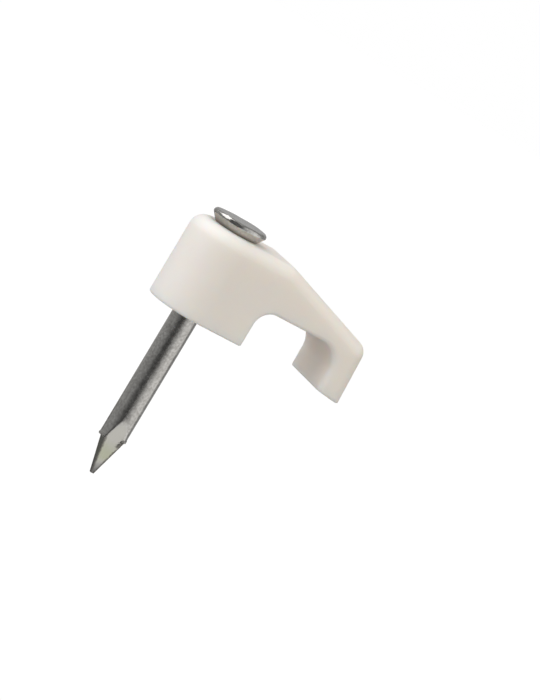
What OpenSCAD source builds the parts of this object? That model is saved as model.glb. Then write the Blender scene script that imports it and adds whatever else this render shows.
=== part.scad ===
// Nail-in cable clip: a moulded clip with its own steel nail, for fixing flat cable to a wall.
// The origin is on the nail's axis at the wall. The nail points down, and the cable channel is on the +X side.

/* [Clip] */
// Width of the clip along the cable, which is also the diameter of the round boss
clip_w = 6.25; // [5:0.05:8]
// Height of the boss, from the wall to the seat of the nail's head
boss_h = 6.65; // [5.5:0.05:8]
// Reach of the boss from the nail's axis to the cable channel
boss_reach = 3.5; // [2.5:0.1:5]
// Flat top of the boss, from the nail's axis to where the arm starts to fall
top_flat = 4.3; // [3:0.05:5]
// Rounding of the outer edges along the top, round the heel and down the leg
edge_r = 1; // [0.3:0.05:1.2]

/* [Cable channel] */
// Width of the channel between the boss and the leg
channel_w = 7; // [5:0.05:10]
// Height of the channel above the wall
channel_h = 3.1; // [2:0.05:4]
// Radius of the channel's corner at the boss
boss_corner_r = 1.25; // [0.3:0.05:1.5]
// Radius of the channel's corner at the leg
leg_corner_r = 1.75; // [0.5:0.05:2]

/* [Arm and leg] */
// Thickness of the arm, upright, where it meets the leg
arm_t = 1.5; // [1:0.05:2.2]
// Thickness of the leg at its foot
leg_t = 2.35; // [1.5:0.05:3]
// Lean of the leg's outer face, outwards to the foot
leg_lean = 4.8; // [0:0.1:6]
// How far the foot's outer edge reaches below the boss, so that driving the nail springs the arm
leg_drop = 0.55; // [0:0.05:1]
// How much higher the foot's inner edge lies than its outer edge
foot_rise = 0.3; // [0:0.05:0.5]
// Draft of the leg's two sides, which narrows it to the foot
leg_draft = 3; // [0:0.5:5]

/* [Nail] */
// Diameter of the nail's shank
nail_d = 2; // [1.6:0.1:2.5]
// Length of the nail under its head
nail_len = 20; // [16:0.5:30]
// Growth of the shank's radius under the head, where the wire was upset
shank_swell = 0.04; // [0.02:0.01:0.08]
// Clearance between the shank and its bore, all round
bore_clear = 0.02; // [0.01:0.01:0.1]
// Diameter of the head at its rim
head_d = 4.2; // [3.6:0.1:5]
// Diameter of the head's seat on the boss
head_seat_d = 3.75; // [2.8:0.05:4]
// Thickness of the head
head_t = 0.9; // [0.7:0.05:1.4]
// Height of the head's straight rim
head_rim = 0.4; // [0.2:0.05:0.6]
// Rounding of the head's upper edge
head_edge_r = 0.15; // [0.05:0.05:0.3]
// Length of the two broad faces of the point
broad_face_len = 4.4; // [3:0.05:6]
// Length of the two narrow faces of the point
narrow_face_len = 4.25; // [2.5:0.05:6]
// Width of the blunt end of the point
point_end_w = 0.26; // [0.05:0.01:0.4]
// Turn of the point about the nail's axis, from square to the clip
point_turn = -7; // [-45:1:45]

/* [Hidden] */
$fn = 96;
// Facets round the boss and round the clip's edges
boss_facets = 72;
edge_facets = 32;
// Overrun of every cutting shape past the surface that it cuts
over = 1;

nail_r = nail_d / 2;
nail_tip_z = boss_h - nail_len;
leg_in_x = boss_reach + channel_w;
foot_x = leg_in_x + leg_t;

// Fall of the arm below level, from the boss's top to its thickness at the leg, and of the leg's outer face
arm_fall = atan((boss_h - channel_h - arm_t) / (leg_in_x - top_flat));
leg_fall = 90 - leg_lean;

// Sharp corner of the heel, where the line of the arm's top meets the line of the leg's outer face
heel_x = (foot_x - tan(leg_lean) * (boss_h + leg_drop + top_flat * tan(arm_fall)))
    / (1 - tan(leg_lean) * tan(arm_fall));
heel_z = boss_h - (heel_x - top_flat) * tan(arm_fall);

// Centres of the rounding at the crest, at the heel and below the foot, in side view
crest_mid = [top_flat - edge_r * tan(arm_fall / 2), boss_h - edge_r];
heel_mid = [heel_x, heel_z] - edge_r * [sin(arm_fall), cos(arm_fall)]
    - edge_r * tan((leg_fall - arm_fall) / 2) * [cos(arm_fall), -sin(arm_fall)];
foot_fall = heel_mid.y + leg_drop + over;
foot_mid = heel_mid + foot_fall * [tan(leg_lean), -1];
// Depth of the cuts below the wall, past the lowest rounding
floor_z = foot_mid.y - edge_r - over;

// Ball with points at both poles and round its middle, so that it keeps its full size
module ball(radius) {
    rotate_extrude($fn = edge_facets)
        intersection() {
            circle(radius, $fn = edge_facets);
            translate([0, -radius]) square([radius, 2 * radius]);
        }
}

// The clip's outer form: the round boss, the arm falling from its crest, and the leg below the heel
module outer_form() {
    edge_y = clip_w / 2 - edge_r;
    hull() {
        translate([0, 0, -over])
            cylinder(h = boss_h + over - edge_r, r = clip_w / 2, $fn = boss_facets);
        translate([0, 0, boss_h - edge_r])
            rotate_extrude($fn = boss_facets) translate([edge_y, 0]) circle(edge_r, $fn = edge_facets);
        for (side = [-1, 1]) {
            for (mid = [crest_mid, heel_mid])
                translate([mid.x, side * edge_y, mid.y]) ball(edge_r);
            translate([foot_mid.x, side * (edge_y - foot_fall * tan(leg_draft)), foot_mid.y]) ball(edge_r);
        }
    }
}

// Side view of the cable channel, open to the wall, with its two upper corners rounded
module channel_outline() {
    boss_mid = [boss_reach + boss_corner_r, channel_h - boss_corner_r];
    leg_mid = [leg_in_x - leg_corner_r, channel_h - leg_corner_r];
    translate([boss_reach, floor_z]) square([leg_mid.x - boss_reach, boss_mid.y - floor_z]);
    translate([boss_mid.x, floor_z]) square([leg_in_x - boss_mid.x, leg_mid.y - floor_z]);
    translate([boss_mid.x, floor_z]) square([leg_mid.x - boss_mid.x, channel_h - floor_z]);
    translate(boss_mid) circle(boss_corner_r);
    translate(leg_mid) circle(leg_corner_r);
}

// Side view of what lies beyond the wall plane under the boss, and below the slanted foot of the leg
module below_outline() {
    slope = foot_rise / leg_t;
    translate([-clip_w, floor_z]) square([clip_w + leg_in_x, -floor_z]);
    polygon([
        [leg_in_x - over, floor_z], [foot_x + over, floor_z],
        [foot_x + over, -leg_drop - slope * over], [leg_in_x - over, foot_rise - leg_drop + slope * over]
    ]);
}

// Bore of the boss, which follows the swell of the shank
module bore() {
    growth = shank_swell / boss_h;
    wall_r = nail_r + bore_clear;
    translate([0, 0, -over])
        cylinder(h = boss_h + 2 * over, r1 = wall_r - growth * over, r2 = wall_r + growth * (boss_h + over));
}

module clip_body() {
    color("whitesmoke")
    difference() {
        outer_form();
        translate([0, clip_w / 2 + over, 0]) rotate([90, 0, 0])
            linear_extrude(clip_w + 2 * over) {
                channel_outline();
                below_outline();
            }
        bore();
    }
}

// Side view of half the nail before its point is cut: the shank, its swell in the boss, the head's flare up from
// its seat, the straight rim and the rounded upper edge
module nail_profile() {
    top_z = boss_h + head_t;
    rim_r = head_d / 2;
    polygon([
        [0, nail_tip_z], [nail_r, nail_tip_z], [nail_r, 0], [nail_r + shank_swell, boss_h],
        [head_seat_d / 2, boss_h], [rim_r, top_z - head_rim],
        [rim_r, top_z - head_edge_r], [rim_r - head_edge_r, top_z], [0, top_z]
    ]);
    translate([rim_r - head_edge_r, top_z - head_edge_r]) circle(head_edge_r);
}

// Block that cuts one face of the point, rising from the blunt end to the shank over the face's length
module point_cut(face_len) {
    end_x = point_end_w / 2;
    tilt = atan((nail_r - end_x) / face_len);
    translate([end_x, 0, nail_tip_z]) rotate([0, tilt, 0])
        translate([0, -nail_d, -over]) cube([nail_d, 2 * nail_d, face_len / cos(tilt) + 2 * over]);
}

module nail() {
    color("silver")
    difference() {
        rotate_extrude() nail_profile();
        for (half_turn = [0, 180]) {
            rotate([0, 0, point_turn + half_turn]) point_cut(narrow_face_len);
            rotate([0, 0, point_turn + half_turn + 90]) point_cut(broad_face_len);
        }
    }
}

clip_body();
nail();
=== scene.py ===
# Nail-in cable clip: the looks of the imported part, in its own frame
# Sizes are in millimetres, as in the part's source, and every finished mesh is in metres.

import math

import bmesh
import bpy
from mathutils import Matrix, Vector, noise


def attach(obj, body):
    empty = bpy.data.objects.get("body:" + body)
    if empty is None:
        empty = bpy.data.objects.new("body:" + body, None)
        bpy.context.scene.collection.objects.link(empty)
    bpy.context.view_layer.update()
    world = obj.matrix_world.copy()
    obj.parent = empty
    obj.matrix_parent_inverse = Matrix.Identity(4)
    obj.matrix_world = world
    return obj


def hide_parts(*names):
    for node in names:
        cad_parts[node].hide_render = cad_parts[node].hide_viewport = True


MM = 0.001

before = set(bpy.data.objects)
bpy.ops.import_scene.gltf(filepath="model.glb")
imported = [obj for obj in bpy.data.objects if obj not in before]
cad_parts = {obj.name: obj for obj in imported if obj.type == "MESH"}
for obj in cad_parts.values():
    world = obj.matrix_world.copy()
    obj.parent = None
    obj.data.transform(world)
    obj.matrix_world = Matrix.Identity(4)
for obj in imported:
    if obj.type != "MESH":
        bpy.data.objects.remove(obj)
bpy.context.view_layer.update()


# Node helpers

class Wire:
    """One output in a node sheet. Sums on it add Math nodes to that sheet."""

    def __init__(self, sheet, output):
        self.sheet = sheet
        self.output = output

    def out(self, name):
        """Another output of the same node."""
        return Wire(self.sheet, self.output.node.outputs[name])

    def math(self, operation, *terms):
        return self.sheet.node("ShaderNodeMath", {"operation": operation}, dict(enumerate(terms)))

    def __add__(self, other):
        return self.math("ADD", self, other)

    def __radd__(self, other):
        return self.math("ADD", other, self)

    def __sub__(self, other):
        return self.math("SUBTRACT", self, other)

    def __rsub__(self, other):
        return self.math("SUBTRACT", other, self)

    def __mul__(self, other):
        return self.math("MULTIPLY", self, other)

    def __rmul__(self, other):
        return self.math("MULTIPLY", other, self)

    def __truediv__(self, other):
        return self.math("DIVIDE", self, other)

    def __rtruediv__(self, other):
        return self.math("DIVIDE", other, self)

    def __neg__(self):
        return self.math("MULTIPLY", self, -1.0)

    def __gt__(self, other):
        return self.math("GREATER_THAN", self, other)

    def max(self, other):
        return self.math("MAXIMUM", self, other)

    def min(self, other):
        return self.math("MINIMUM", self, other)

    def root(self):
        return self.math("SQRT", self)

    def sine(self):
        return self.math("SINE", self)

    def cosine(self):
        return self.math("COSINE", self)


class Sheet:
    """A node tree that is drawn one node at a time."""

    def __init__(self, tree):
        self.tree = tree

    def node(self, kind, settings=None, sockets=None):
        """Adds a node: first its settings, then the values or wires of its sockets.

        Gives the node's first output in use.
        """
        made = self.tree.nodes.new(kind)
        for name, value in (settings or {}).items():
            if name == "stops":
                ramp = made.color_ramp.elements
                while len(ramp) < len(value):
                    ramp.new(1.0)
                for element, (position, shade) in zip(ramp, value):
                    element.position = position
                    element.color = (shade, shade, shade, 1.0)
            else:
                setattr(made, name, value)
        for name, value in (sockets or {}).items():
            if isinstance(value, Wire):
                self.tree.links.new(value.output, made.inputs[name])
            else:
                made.inputs[name].default_value = value
        used = [output for output in made.outputs if output.enabled]
        return Wire(self, used[0]) if used else None


# Sizes of the clip, as in the part's source

clip_w = 6.25
boss_h = 6.65
boss_reach = 3.5
top_flat = 4.3
edge_r = 1.0
channel_w = 7.0
channel_h = 3.1
boss_corner_r = 1.25
leg_corner_r = 1.75
arm_t = 1.5
leg_t = 2.35
leg_lean = math.radians(4.8)
leg_drop = 0.55
foot_rise = 0.3
leg_draft = math.radians(3.0)

# Side view of the arm and the leg, worked out as in the part's source

leg_in_x = boss_reach + channel_w
foot_x = leg_in_x + leg_t
arm_fall = math.atan((boss_h - channel_h - arm_t) / (leg_in_x - top_flat))
lean_slope = math.tan(leg_lean)
arm_slope = math.tan(arm_fall)
corner_x = (foot_x - lean_slope * (boss_h + leg_drop + top_flat * arm_slope)) / (1 - lean_slope * arm_slope)
corner_z = boss_h - (corner_x - top_flat) * arm_slope
heel_turn = edge_r * math.tan((math.pi / 2 - leg_lean - arm_fall) / 2)
heel_x = corner_x - edge_r * math.sin(arm_fall) - heel_turn * math.cos(arm_fall)
heel_z = corner_z - edge_r * math.cos(arm_fall) + heel_turn * math.sin(arm_fall)

# Rounding that the mould leaves along the channel, the base and the bore

channel_edge_r = 0.22
leg_edge_r = 0.42
base_edge_r = 0.13
bore_edge_r = 0.1

# Fineness of the clip's mesh, and the room left round the clip while it is worked out

mould_cell = 0.075
mould_margin = 0.3

# Sizes of the nail, as in the part's source

nail_r = 1.0
nail_len = 20.0
nail_tip_z = boss_h - nail_len
shank_swell = 0.04
bore_clear = 0.02
head_r = 2.1
head_t = 0.9
broad_face_len = 4.4
narrow_face_len = 4.25
point_end_r = 0.13
point_turn = math.radians(-7.0)

# Side view of the head, which flares from a smaller seat than in the part's source and has rounded edges

head_seat_r = 1.68
head_rim = 0.32
head_round = 0.27
rim_round = 0.05
seat_round = 0.1

# The head isn't quite even: how far its skin swells, how fine that is, and how it falls to one side
# That side also has painted shade on its rim, a darkened reflection, and the turn is the way that it faces.

head_swell = 0.03
head_swell_scale = 0.9
head_tilt = 0.008
rim_shade_turn = math.radians(154.0)

# Flats that knocks have left on the head's edge
# Each has the way that it faces round the nail, the way that it faces upwards, and its depth.

head_knocks = [
    (math.radians(214.6), math.radians(35.0), 0.045),
    (math.radians(235.6), math.radians(12.0), 0.04),
]

# Rough work of the cutters at the point
# Its faces blend into the shank. The narrow ones stop at a ragged shoulder, which has a lip over it.

face_blend = 0.09
shoulder_h = 2.9
shoulder_tilt = 0.14
shoulder_rag = 0.1
lip_h = 0.35
lip_out = 0.06
lip_fade = 0.15
lip_least = 0.6

# Dark burr of the cutters
# A ridge runs along the edges between the faces, and a fold lies beside the shoulder on one side of the nail.
# A width or height is where the dark starts, and a full one is where it is darkest.

ridge_w = 0.17
ridge_full_w = 0.05
ridge_rag = 0.08
ridge_fade = 0.05
fold_w = 0.42
fold_full_w = 0.2
fold_h = 0.6
fold_full_h = 0.25
fold_side = 0.2
fold_breaks = (-0.05, 0.15)
fold_out = 0.07
cut_fade = 0.06

# Fineness of the cutters' roughness, across the nail and along it

rough_across = 4.0
rough_along = 3.0
fine_across = 9.0
fine_along = 8.0

# Fineness of the nail's mesh, how far the point's rings run past its faces, and where its edges are sharp

point_rings = 96
point_margin = 0.4
shank_rings = 24
turn_steps = 144
fillet_steps = 8
top_ring_insets = (0.5, 1.0, 1.5)
merge_distance = 0.0005
sharp_angle = math.radians(28.0)

# Least slant of a face, so that nothing is divided by zero

least_slant = 0.001


# Finishes

def finish_sheet(name):
    """A new finish, as its material and its empty node sheet."""
    material = bpy.data.materials.new(name)
    material.use_nodes = True
    material.node_tree.nodes.clear()
    return material, Sheet(material.node_tree)


def place_on_piece(sheet):
    """The place on the piece, in millimetres."""
    place = sheet.node("ShaderNodeTexCoord").out("Object")
    return sheet.node("ShaderNodeVectorMath", {"operation": "SCALE"}, {0: place, "Scale": 1 / MM})


def speckle(sheet, place, scale, detail, stretch=(1.0, 1.0, 1.0)):
    """Soft noise over the piece, with grains of about one over the scale in millimetres."""
    drawn = sheet.node("ShaderNodeMapping", None, {"Vector": place, "Scale": stretch})
    sockets = {"Vector": drawn, "Scale": scale, "Detail": detail}
    return sheet.node("ShaderNodeTexNoise", None, sockets)


def between(sheet, amount, low, high):
    """A colour between two colours, by an amount from 0 to 1."""
    settings = {"data_type": "RGBA", "clamp_factor": True}
    return sheet.node("ShaderNodeMix", settings, {0: amount, 6: low, 7: high})


def stretched(sheet, value, low, high):
    """A value from low to high, as a share from 0 to 1."""
    return sheet.node("ShaderNodeMapRange", None, {"Value": value, "From Min": low, "From Max": high})


def moulded_plastic():
    """Warm white satin plastic that light sinks into, with a faint flow of colour and a finely dull skin."""
    deeper = (0.855, 0.810, 0.750, 1.0)
    paler = (0.880, 0.840, 0.785, 1.0)
    least_dull = 0.44
    more_dull = 0.16
    skin_depth = 0.02 * MM
    material, sheet = finish_sheet("white_plastic_moulded")
    place = place_on_piece(sheet)
    flow = speckle(sheet, place, scale=0.22, detail=3.0, stretch=(1.0, 0.6, 1.4))
    skin = speckle(sheet, place, scale=5.0, detail=4.0)
    grain = speckle(sheet, place, scale=16.0, detail=2.0)
    height = 0.7 * skin + 0.3 * grain
    bump = sheet.node("ShaderNodeBump", None, {"Strength": 0.35, "Distance": skin_depth, "Height": height})
    skin_shader = sheet.node("ShaderNodeBsdfPrincipled", None, {
        "Base Color": between(sheet, flow, deeper, paler),
        "Roughness": least_dull + more_dull * skin,
        "Normal": bump,
        "IOR": 1.47,
        "Subsurface Weight": 0.8,
        "Subsurface Radius": (1.0, 0.75, 0.55),
        "Subsurface Scale": 1.8 * MM,
    })
    sheet.node("ShaderNodeOutputMaterial", None, {"Surface": skin_shader})
    return material


# Colours of the steel

wire_dark = (0.32, 0.308, 0.29, 1.0)
wire_pale = (0.61, 0.60, 0.572, 1.0)
cut_plain = (0.475, 0.465, 0.43, 1.0)
cut_stained = (0.42, 0.43, 0.335, 1.0)
tip_dark = (0.17, 0.17, 0.17, 1.0)
# Painted shade and painted sheen, which darken the head's rim on one side and lighten it on the other
rim_painted_shade = (0.17, 0.165, 0.155, 1.0)
rim_painted_sheen = (0.76, 0.765, 0.75, 1.0)
# Painted contact shadow along the foot of the head's rim, where it meets the boss
rim_contact_shadow = (0.13, 0.125, 0.115, 1.0)
burr_dark = (0.15, 0.14, 0.125, 1.0)

# Heights over the blunt end between which the stain and the dark of the tip set in, and their borders' rag

stain_from_above = (2.9, 1.9)
stain_from_below = (0.9, 1.5)
tip_dark_from_above = (1.15, 0.25)
stain_rag = 0.8

# Heights between which the painted shade, the painted sheen and the painted contact shadow of the head's rim
# set in, and how far below the seat they stop

rim_from_above = (boss_h + 0.8, boss_h + 0.1)
contact_shadow_from_above = (boss_h + 0.26, boss_h + 0.02)
seat_slack = 0.05

# How strongly the rim's painted shade, its painted sheen, its painted contact shadow and the burr cover what
# lies under them

rim_shade_cover = 0.7
rim_shade_all_round = 0.04
rim_sheen_cover = 0.5
contact_shadow_cover = 0.8
burr_cover = 0.9


def drawn_steel():
    """Bright drawn wire: fine lines along it, a mottled dull skin and yellowish cut faces at the point."""
    least_dull = 0.14
    line_depth = 0.02 * MM
    material, sheet = finish_sheet("bright_steel_drawn")
    place = place_on_piece(sheet)
    x = sheet.node("ShaderNodeSeparateXYZ", None, {0: place})
    y = x.out("Y")
    height = x.out("Z")
    cut = sheet.node("ShaderNodeAttribute", {"attribute_name": "cut"}).out("Fac")
    burr = sheet.node("ShaderNodeAttribute", {"attribute_name": "burr"}).out("Fac")

    # Skin of the wire
    lines = speckle(sheet, place, scale=5.0, detail=4.0, stretch=(1.0, 1.0, 0.05))
    mottle = speckle(sheet, place, scale=1.6, detail=3.0)
    pits = speckle(sheet, place, scale=5.5, detail=2.5)
    worn = stretched(sheet, mottle, 0.35, 0.7)
    grain = stretched(sheet, pits, 0.36, 0.64)
    skin = between(sheet, 0.3 * lines + 0.25 * worn + 0.45 * grain, wire_dark, wire_pale)

    # Cut faces of the point
    over_tip = height - nail_tip_z + stain_rag * (mottle - 0.5)
    stained = stretched(sheet, over_tip, *stain_from_above) * stretched(sheet, over_tip, *stain_from_below)
    fresh = between(sheet, stained, cut_plain, cut_stained)
    fresh = between(sheet, stretched(sheet, over_tip, *tip_dark_from_above), fresh, tip_dark)

    # Rim of the head: painted shade of its reflection on one side, a painted sheen on the other, and a
    # painted contact shadow where it meets the boss
    on_head = height > boss_h - seat_slack
    on_rim = stretched(sheet, height, *rim_from_above) * on_head
    rim_shade_side = (math.cos(rim_shade_turn) * x + math.sin(rim_shade_turn) * y) / head_r
    contact_shadow = stretched(sheet, height, *contact_shadow_from_above) * on_head
    rim = between(sheet, (rim_shade_all_round + rim_shade_cover * rim_shade_side) * on_rim, skin, rim_painted_shade)
    rim = between(sheet, rim_sheen_cover * (1.0 - rim_shade_side) * on_rim, rim, rim_painted_sheen)
    rim = between(sheet, contact_shadow_cover * contact_shadow, rim, rim_contact_shadow)

    colour = between(sheet, cut, rim, fresh)
    colour = between(sheet, burr_cover * burr, colour, burr_dark)
    dull = least_dull + 0.12 * mottle + 0.08 * pits + 0.3 * burr
    relief = 0.6 * lines + 0.4 * pits
    bump = sheet.node("ShaderNodeBump", None, {"Strength": 0.4, "Distance": line_depth, "Height": relief})
    wire_shader = sheet.node("ShaderNodeBsdfPrincipled", None, {
        "Base Color": colour,
        "Roughness": dull,
        "Metallic": 1.0,
        "Normal": bump,
    })
    sheet.node("ShaderNodeOutputMaterial", None, {"Surface": wire_shader})
    return material


# The clip, as one moulded form that is worked out from distances and then made a mesh

def rounded(one, other, radius):
    """Distance from where two forms overlap, with their common edge rounded."""
    past_one = (one + radius).max(0.0)
    past_other = (other + radius).max(0.0)
    return (past_one * past_one + past_other * past_other).root() + one.max(other).min(-radius)


def corner(one, other, cosine):
    """Distance from the corner of two planes, whose outward directions have this cosine."""
    flat = one.max(other)
    square = one * one + other * other - 2.0 * cosine * one * other
    sharp = (square / (1.0 - cosine * cosine)).max(0.0).root()
    ahead = ((one - cosine * other) > 0.0) * ((other - cosine * one) > 0.0)
    return flat + ahead * (sharp - flat)


def clip_sheet(sizes, low, high, material):
    """Geometry nodes that make the clip from its named sizes, inside a block from low to high."""
    tree = bpy.data.node_groups.new("clip_moulding", "GeometryNodeTree")
    sheet = Sheet(tree)
    for name in sizes:
        tree.interface.new_socket(name, in_out="INPUT", socket_type="NodeSocketFloat")
    tree.interface.new_socket("Geometry", in_out="OUTPUT", socket_type="NodeSocketGeometry")
    first = sheet.node("NodeGroupInput")
    size = {name: first.out(name) for name in sizes}
    spot = sheet.node("GeometryNodeInputPosition")
    x = sheet.node("ShaderNodeSeparateXYZ", None, {0: spot})
    y = x.out("Y")
    z = x.out("Z")

    # Top of the boss, top of the arm and outer face of the leg, set in by the rounding of the edges
    edge = size["edge rounding"]
    past_heel = x - size["heel x"]
    over_heel = z - size["heel z"]
    fall = size["arm fall"]
    lean = size["leg lean"]
    top = z - (size["boss height"] - edge)
    arm = past_heel * fall.sine() + over_heel * fall.cosine()
    leg = past_heel * lean.cosine() + over_heel * lean.sine()
    side_view = corner(top, arm, fall.cosine()).max(corner(arm, leg, (fall + lean).sine()))

    # The boss is round in plan, the arm runs straight on from it, and the leg narrows to its foot
    behind = x.min(0.0)
    middle = 0.5 * (size["channel start"] + size["channel end"])
    at_leg = x > middle
    drawn_in = at_leg * size["leg draft"] * (-over_heel).max(0.0)
    plan = (behind * behind + y * y).root() - (size["boss radius"] - edge) + drawn_in
    past_side = side_view.max(0.0)
    past_plan = plan.max(0.0)
    outer = (past_side * past_side + past_plan * past_plan).root() + side_view.max(plan).min(0.0) - edge

    # The cable channel, the wall plane under the boss, the foot of the leg and the bore are cut away
    below_roof = z - size["channel height"]
    boss_side = rounded(size["channel start"] - x, below_roof, size["boss corner"])
    leg_side = rounded(x - size["channel end"], below_roof, size["leg corner"])
    to_leg = ((x - middle) / (size["channel end"] - middle)).max(0.0).min(1.0)
    channel_edge = size["channel edge"] + (size["leg edge"] - size["channel edge"]) * to_leg
    body = rounded(outer, -boss_side.max(leg_side), channel_edge)
    below_wall = size["foot drop"] - size["foot slope"] * (size["foot x"] - x)
    body = rounded(body, -(z + below_wall * at_leg), size["base edge"])
    bore = (x * x + y * y).root() - (size["bore radius"] + size["bore growth"] * z)
    body = rounded(body, -bore, size["bore edge"])

    counts = [round((end - start) / mould_cell) for start, end in zip(low, high)]
    mould = sheet.node("GeometryNodeVolumeCube", None, {
        "Density": -body,
        "Background": -1.0,
        "Min": low,
        "Max": high,
        "Resolution X": counts[0],
        "Resolution Y": counts[1],
        "Resolution Z": counts[2],
    })
    skin = sheet.node("GeometryNodeVolumeToMesh", None, {"Volume": mould, "Threshold": 0.0})
    smooth = sheet.node("GeometryNodeSetShadeSmooth", None, {"Geometry": skin})
    metres = sheet.node("GeometryNodeTransform", None, {"Geometry": smooth, "Scale": (MM, MM, MM)})
    whole = sheet.node("GeometryNodeRealizeInstances", None, {"Geometry": metres})
    clad = sheet.node("GeometryNodeSetMaterial", None, {"Geometry": whole, "Material": material})
    sheet.node("NodeGroupOutput", None, {"Geometry": clad})
    return tree


def add_piece(name, mesh):
    """A mesh as an object at the origin."""
    piece = bpy.data.objects.new(name, mesh)
    bpy.context.collection.objects.link(piece)
    return piece


def make_clip(material):
    """The clip as one plain mesh, taken from its geometry nodes."""
    sizes = {
        "boss radius": clip_w / 2,
        "boss height": boss_h,
        "edge rounding": edge_r,
        "heel x": heel_x,
        "heel z": heel_z,
        "arm fall": arm_fall,
        "leg lean": leg_lean,
        "channel start": boss_reach,
        "channel end": leg_in_x,
        "channel height": channel_h,
        "boss corner": boss_corner_r,
        "leg corner": leg_corner_r,
        "channel edge": channel_edge_r,
        "leg edge": leg_edge_r,
        "leg draft": math.tan(leg_draft),
        "foot x": foot_x,
        "foot drop": leg_drop,
        "foot slope": foot_rise / leg_t,
        "base edge": base_edge_r,
        "bore radius": nail_r + bore_clear,
        "bore growth": shank_swell / boss_h,
        "bore edge": bore_edge_r,
    }
    side_y = clip_w / 2 + mould_margin
    low = (-side_y, -side_y, -leg_drop - mould_margin)
    high = (foot_x + mould_margin, side_y, boss_h + mould_margin)
    tree = clip_sheet(sizes, low, high, material)
    blank = add_piece("clip_blank", bpy.data.meshes.new("clip_blank"))
    maker = blank.modifiers.new("clip_moulding", "NODES")
    maker.node_group = tree
    for item in tree.interface.items_tree:
        if item.in_out == "INPUT":
            maker[item.identifier] = sizes[item.name]
    shaped = blank.evaluated_get(bpy.context.evaluated_depsgraph_get())
    mesh = bpy.data.meshes.new_from_object(shaped)
    mesh.name = "clip_skin"
    bpy.data.objects.remove(blank)
    return add_piece("clip_skin", mesh)


# The nail, turned from its side view and cut to its point

def filleted(points):
    """Points of a side view with its corners rounded. Each point is a radius, a height and a rounding."""
    line = []
    for index, (across, up, radius) in enumerate(points):
        here = Vector((across, up))
        if radius == 0:
            line.append(here)
            continue
        back = (Vector(points[index - 1][:2]) - here).normalized()
        ahead = (Vector(points[index + 1][:2]) - here).normalized()
        half = back.angle(ahead) / 2
        middle = here + (back + ahead).normalized() * radius / math.sin(half)
        start = here + back * radius / math.tan(half) - middle
        end = here + ahead * radius / math.tan(half) - middle
        turn = start.angle_signed(end)
        for step in range(fillet_steps + 1):
            line.append(middle + Matrix.Rotation(-turn * step / fillet_steps, 2) @ start)
    return line


def ragged(*place):
    """Even noise at a place, from about -0.7 to 0.7."""
    return noise.noise(Vector(place))


def share(value, low, high):
    """A value from low to high, as a share from 0 to 1."""
    return min(max((value - low) / (high - low), 0.0), 1.0)


def point_spot(angle, height):
    """A spot on the point, at an angle from the middle of a narrow face and a height over the blunt end.

    Gives its two places across the nail, the share of cut steel and the share of dark burr.
    """
    widening = (nail_r - point_end_r) * height
    narrow = point_end_r + widening / narrow_face_len
    broad = point_end_r + widening / broad_face_len
    aim = Vector((min(narrow, nail_r) * math.cos(angle), min(broad, nail_r) * math.sin(angle))).normalized()
    to_narrow = narrow / max(abs(aim.x), least_slant)
    to_broad = broad / max(abs(aim.y), least_slant)
    rough = ragged(rough_across * aim.x, rough_across * aim.y, rough_along * height)
    fine = ragged(fine_across * aim.x, fine_across * aim.y, fine_along * height)

    # Over the shoulder the narrow faces are left out, and the steel that they pushed up makes a lip
    above = height - shoulder_h - shoulder_tilt * aim.x - shoulder_rag * rough
    on_narrow = to_narrow < to_broad
    lip = 0.0
    if above > 0:
        if on_narrow:
            lip = share(above, lip_h, 0.0) * share(to_broad, nail_r, nail_r + lip_fade) * (lip_least + fine)
        to_narrow = max(to_narrow, 2 * nail_r)
    face = min(to_narrow, to_broad)
    overlap = max(face_blend - abs(face - nail_r), 0.0)
    radius = min(face, nail_r) - overlap * overlap / (4 * face_blend)

    # Burr along the edges of the faces, and folded over beside the shoulder
    from_ridge = max(narrow - abs(aim.x) * radius, broad - abs(aim.y) * radius)
    ridge = share(from_ridge + ridge_rag * fine, ridge_w, ridge_full_w)
    ridge *= share(nail_r - face, 0.0, ridge_fade)
    fold = 0.0
    if not on_narrow:
        beside = share(from_ridge, fold_w, fold_full_w) * share(aim.x, 0.0, fold_side)
        fold = beside * share(abs(height - shoulder_h), fold_h, fold_full_h) * share(fine, *fold_breaks)
    radius += lip_out * lip + fold_out * fold
    burr = max(ridge, fold, lip)
    cut = share(nail_r - face, 0.0, cut_fade)
    return aim.x * radius, aim.y * radius, cut, burr


def flatten(vertex, turn, rise, deep):
    """Moves a vertex of the head's rounded edge back to a flat that faces this way."""
    facing = Vector((math.cos(turn) * math.cos(rise), math.sin(turn) * math.cos(rise), math.sin(rise)))
    edge_z = boss_h + head_t - head_round
    edge_reach = (head_r - head_round) * facing.xy.length + edge_z * facing.z + head_round
    vertex.co -= facing * max(vertex.co.dot(facing) - edge_reach + deep, 0.0)


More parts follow.
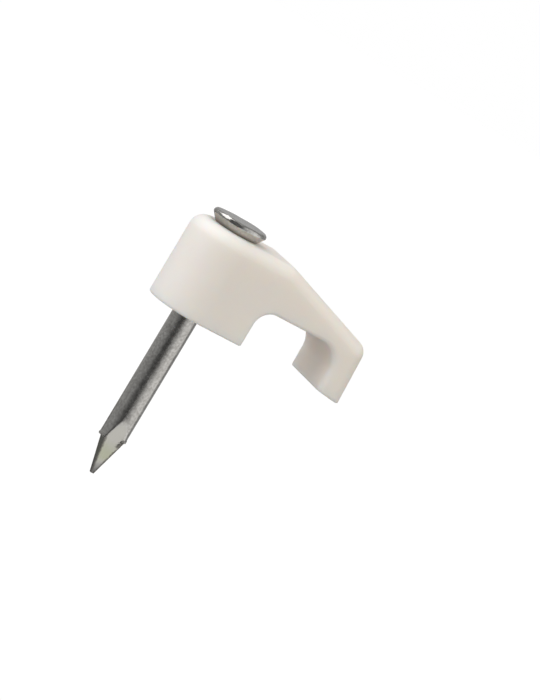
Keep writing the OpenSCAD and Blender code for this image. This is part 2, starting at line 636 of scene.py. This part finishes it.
def make_nail(material):
    """The nail as one mesh, with the cut faces and the burr of its point marked on its vertices."""
    top_z = boss_h + head_t
    point_h = broad_face_len + point_margin
    point_top_z = nail_tip_z + point_h
    side_view = [Vector((0, nail_tip_z))]
    for step in range(point_rings):
        side_view.append(Vector((nail_r, nail_tip_z + point_h * step / point_rings)))
    for step in range(shank_rings + 1):
        side_view.append(Vector((nail_r, point_top_z * (1 - step / shank_rings))))
    head_view = [
        (nail_r + shank_swell, boss_h, 0),
        (head_seat_r, boss_h, seat_round),
        (head_r, top_z - head_rim, rim_round),
        (head_r, top_z, head_round),
    ]
    head_view += [(head_r - inset, top_z, 0) for inset in top_ring_insets]
    head_view.append((0, top_z, 0))
    side_view += filleted(head_view)

    form = bmesh.new()
    spots = [form.verts.new((point.x, 0, point.y)) for point in side_view]
    edges = [form.edges.new(pair) for pair in zip(spots, spots[1:])]
    whole_turn = 2 * math.pi
    bmesh.ops.spin(
        form, geom=spots + edges, cent=(0, 0, 0), axis=(0, 0, 1), angle=whole_turn, steps=turn_steps,
    )
    bmesh.ops.remove_doubles(form, verts=form.verts, dist=merge_distance)
    cut_mark = form.verts.layers.float.new("cut")
    burr_mark = form.verts.layers.float.new("burr")
    for vertex in form.verts:
        height = vertex.co.z - nail_tip_z
        if height < point_h and vertex.co.xy.length > nail_r / 2:
            angle = math.atan2(vertex.co.y, vertex.co.x)
            vertex.co.x, vertex.co.y, vertex[cut_mark], vertex[burr_mark] = point_spot(angle, height)
    bmesh.ops.rotate(form, cent=(0, 0, 0), matrix=Matrix.Rotation(point_turn, 3, "Z"), verts=form.verts)
    bmesh.ops.recalc_face_normals(form, faces=form.faces)
    for vertex in form.verts:
        if vertex.co.z > boss_h + seat_round:
            uneven = noise.noise(vertex.co * head_swell_scale)
            vertex.co += vertex.normal * head_swell * uneven
            side = math.cos(rim_shade_turn) * vertex.co.x + math.sin(rim_shade_turn) * vertex.co.y
            vertex.co.z -= head_tilt * (side + head_r) * (vertex.co.z - boss_h) / head_t
            for turn, rise, deep in head_knocks:
                flatten(vertex, turn, rise, deep)
    bmesh.ops.scale(form, vec=(MM, MM, MM), verts=form.verts)
    mesh = bpy.data.meshes.new("nail_wire")
    form.to_mesh(mesh)
    form.free()
    mesh.shade_smooth()
    mesh.set_sharp_from_angle(angle=sharp_angle)
    mesh.materials.append(material)
    return add_piece("nail_wire", mesh)


plastic = moulded_plastic()
steel = drawn_steel()

clip = make_clip(plastic)
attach(clip, "root")
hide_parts("clip_body")

nail = make_nail(steel)
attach(nail, "root")
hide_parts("nail")


# Camera, at the photograph's viewing angle

view_turn = math.radians(-26.4)
view_rise = math.radians(7.2)
view_roll = math.radians(31.15)
lens = 146.0
frame_height_px = 700
sensor = 36.0
px_per_mm = 14.2
aim_right = 5.824
aim_up = -2.653

level_right = Vector((math.cos(view_turn), math.sin(view_turn), 0))
to_camera = Vector((
    math.sin(view_turn) * math.cos(view_rise),
    -math.cos(view_turn) * math.cos(view_rise),
    math.sin(view_rise),
))
level_up = to_camera.cross(level_right)
camera_right = level_right * math.cos(view_roll) + level_up * math.sin(view_roll)
camera_up = level_up * math.cos(view_roll) - level_right * math.sin(view_roll)
distance = lens / sensor * frame_height_px / px_per_mm
aim = camera_right * aim_right + camera_up * aim_up

camera_data = bpy.data.cameras.new("camera")
camera_data.lens = lens
camera_data.sensor_width = sensor
camera_data.clip_start = 0.01
camera_data.clip_end = 50.0
camera = bpy.data.objects.new("camera", camera_data)
bpy.context.collection.objects.link(camera)
turned = Matrix((camera_right, camera_up, to_camera)).transposed().to_4x4()
camera.matrix_world = Matrix.Translation((aim + to_camera * distance) * MM) @ turned
bpy.context.scene.camera = camera


# Stage: a pale floor, cards that show only in reflections, a soft key lamp, a softer fill and an even sky

floor_z = -45.0
floor_half_m = 3.0
floor_shade = 0.45
seen_lift = 0.62

# The card round the object stands on the floor
# It is swept in under the object up to one bearing, upright from there to the gap, and open in the gap.
# Bearings are in degrees clockwise from the camera.

card_r = 130.0
card_z = floor_z + 1.0
card_top_z = 300.0
card_in_r = 20.0
card_sweep_end = 8.0
card_gap_start = 54.0
card_gap_end = 112.0
card_steps = 60

# Shade of the card round the object, by its bearing
card_shades = [
    (-180, 0.50), (-150, 0.46), (-120, 0.44), (-90, 0.37), (-66, 0.34), (-50, 0.32), (-32, 0.20),
    (-16, 0.085), (8, 0.085), (18, 0.18), (31, 0.52), (54, 0.85), (112, 0.60), (124, 0.30), (140, 0.35),
    (180, 0.50),
]

# A darker card low behind the object, a card overhead, and a bright window at its left
low_card_start = -178.0
low_card_end = -128.0
low_card_z = card_z + 1.0
low_card_r = card_r - 2.0
low_card_h = 13.0
low_card_glow = 0.13
over_card_in_r = 1.0
over_card_glow = 0.40
window_start = -112.0
window_end = -74.0
window_line = [(110.0, 70.0), (15.0, 155.0)]
window_glow = 3.0

sky_lit = (0.45, 0.435, 0.415, 1.0)
sky_seen = (1.0, 1.0, 1.0, 1.0)


def is_seen(sheet):
    """One where the camera sees a thing, straight, in a reflection or through something."""
    path = sheet.node("ShaderNodeLightPath")
    return path.max(path.out("Is Glossy Ray")).max(path.out("Is Transmission Ray"))


def floor_finish():
    """Pale paper that is lifted to white where it is seen, and can't be seen from below."""
    material, sheet = finish_sheet("floor_paper")
    paper = sheet.node("ShaderNodeBsdfDiffuse", None, {"Color": (floor_shade, floor_shade, floor_shade, 1.0)})
    lift = sheet.node("ShaderNodeEmission", None, {"Strength": seen_lift * is_seen(sheet)})
    lit = sheet.node("ShaderNodeAddShader", None, {0: paper, 1: lift})
    clear = sheet.node("ShaderNodeBsdfTransparent")
    below = sheet.node("ShaderNodeNewGeometry").out("Backfacing")
    both = sheet.node("ShaderNodeMixShader", None, {0: below, 1: lit, 2: clear})
    sheet.node("ShaderNodeOutputMaterial", None, {"Surface": both})
    return material


def make_floor():
    """A square of paper under the object."""
    corners = [(-1, -1), (1, -1), (1, 1), (-1, 1)]
    mesh = bpy.data.meshes.new("floor")
    points = [(floor_half_m * across, floor_half_m * along, floor_z * MM) for across, along in corners]
    mesh.from_pydata(points, [], [(0, 1, 2, 3)])
    mesh.materials.append(floor_finish())
    return add_piece("floor", mesh)


def round_finish():
    """Glow of the card round the object, which changes with the bearing from the camera."""
    material, sheet = finish_sheet("card_round")
    x = sheet.node("ShaderNodeSeparateXYZ", None, {0: place_on_piece(sheet)})
    bearing = x.math("ARCTAN2", x, -x.out("Y")) - view_turn
    way_round = bearing.math("WRAP", bearing, math.pi, -math.pi) / (2 * math.pi) + 0.5
    stops = [(0.5 + degrees / 360, shade) for degrees, shade in card_shades]
    shade = sheet.node("ShaderNodeValToRGB", {"stops": stops}, {"Fac": way_round})
    glow = sheet.node("ShaderNodeEmission", None, {"Color": shade})
    sheet.node("ShaderNodeOutputMaterial", None, {"Surface": glow})
    return material


def even_finish(name, glow_strength):
    """Even glow of a plain card."""
    material, sheet = finish_sheet(name)
    glow = sheet.node("ShaderNodeEmission", None, {"Strength": glow_strength})
    sheet.node("ShaderNodeOutputMaterial", None, {"Surface": glow})
    return material


def make_card(name, start, end, profile, material):
    """A card round the object from one bearing to another. Its profile is a line of radii and heights."""
    rows = len(profile)
    points = []
    for step in range(card_steps + 1):
        bearing = view_turn + math.radians(start + (end - start) * step / card_steps)
        for radius, height in profile:
            points.append((radius * math.sin(bearing) * MM, -radius * math.cos(bearing) * MM, height * MM))
    faces = []
    for step in range(card_steps):
        for row in range(rows - 1):
            first = step * rows + row
            faces.append((first, first + 1, first + 1 + rows, first + rows))
    mesh = bpy.data.meshes.new(name)
    mesh.from_pydata(points, [], faces)
    mesh.materials.append(material)
    card = add_piece(name, mesh)
    card.visible_camera = False
    card.visible_diffuse = False
    card.visible_transmission = False
    card.visible_volume_scatter = False
    card.visible_shadow = False
    return card


upright_line = [(card_r, card_z), (card_r, card_top_z)]
swept_line = [(card_in_r, card_z)] + upright_line
low_line = [(card_in_r, low_card_z), (low_card_r, low_card_z), (low_card_r, low_card_z + low_card_h)]
over_line = [(over_card_in_r, card_top_z), (card_r, card_top_z)]
shaded = round_finish()
make_floor()
make_card("card_round", card_gap_end - 360.0, card_sweep_end, swept_line, shaded)
make_card("card_right", card_sweep_end, card_gap_start, upright_line, shaded)
make_card("card_low", low_card_start, low_card_end, low_line, even_finish("card_low", low_card_glow))
make_card("card_over", 0.0, 360.0, over_line, even_finish("card_over", over_card_glow))
make_card("card_window", window_start, window_end, window_line, even_finish("card_window", window_glow))

world = bpy.data.worlds.new("sky")
bpy.context.scene.world = world
world.use_nodes = True
world.node_tree.nodes.clear()
sky = Sheet(world.node_tree)
sky_shade = between(sky, is_seen(sky), sky_lit, sky_seen)
sky_glow = sky.node("ShaderNodeBackground", None, {"Color": sky_shade})
sky.node("ShaderNodeOutputWorld", None, {"Surface": sky_glow})


def make_lamp(name, direction, energy, spread, colour):
    """A far lamp of an angular size in degrees, which shines from a direction."""
    data = bpy.data.lights.new(name, "SUN")
    data.energy = energy
    data.angle = math.radians(spread)
    data.color = colour
    lamp = bpy.data.objects.new(name, data)
    bpy.context.collection.objects.link(lamp)
    lamp.rotation_mode = "QUATERNION"
    lamp.rotation_quaternion = direction.to_track_quat("Z", "Y")
    return lamp


key_from = -0.77 * level_right + 0.46 * level_up + 0.44 * to_camera
fill_from = 0.45 * level_right + 0.55 * level_up + 0.7 * to_camera
make_lamp("key", key_from, energy=1.90, spread=80.0, colour=(0.89, 0.925, 1.0))
fill = make_lamp("fill", fill_from, energy=0.92, spread=90.0, colour=(1.0, 0.96, 0.90))
fill.visible_glossy = False

bpy.context.scene.view_settings.view_transform = "Standard"
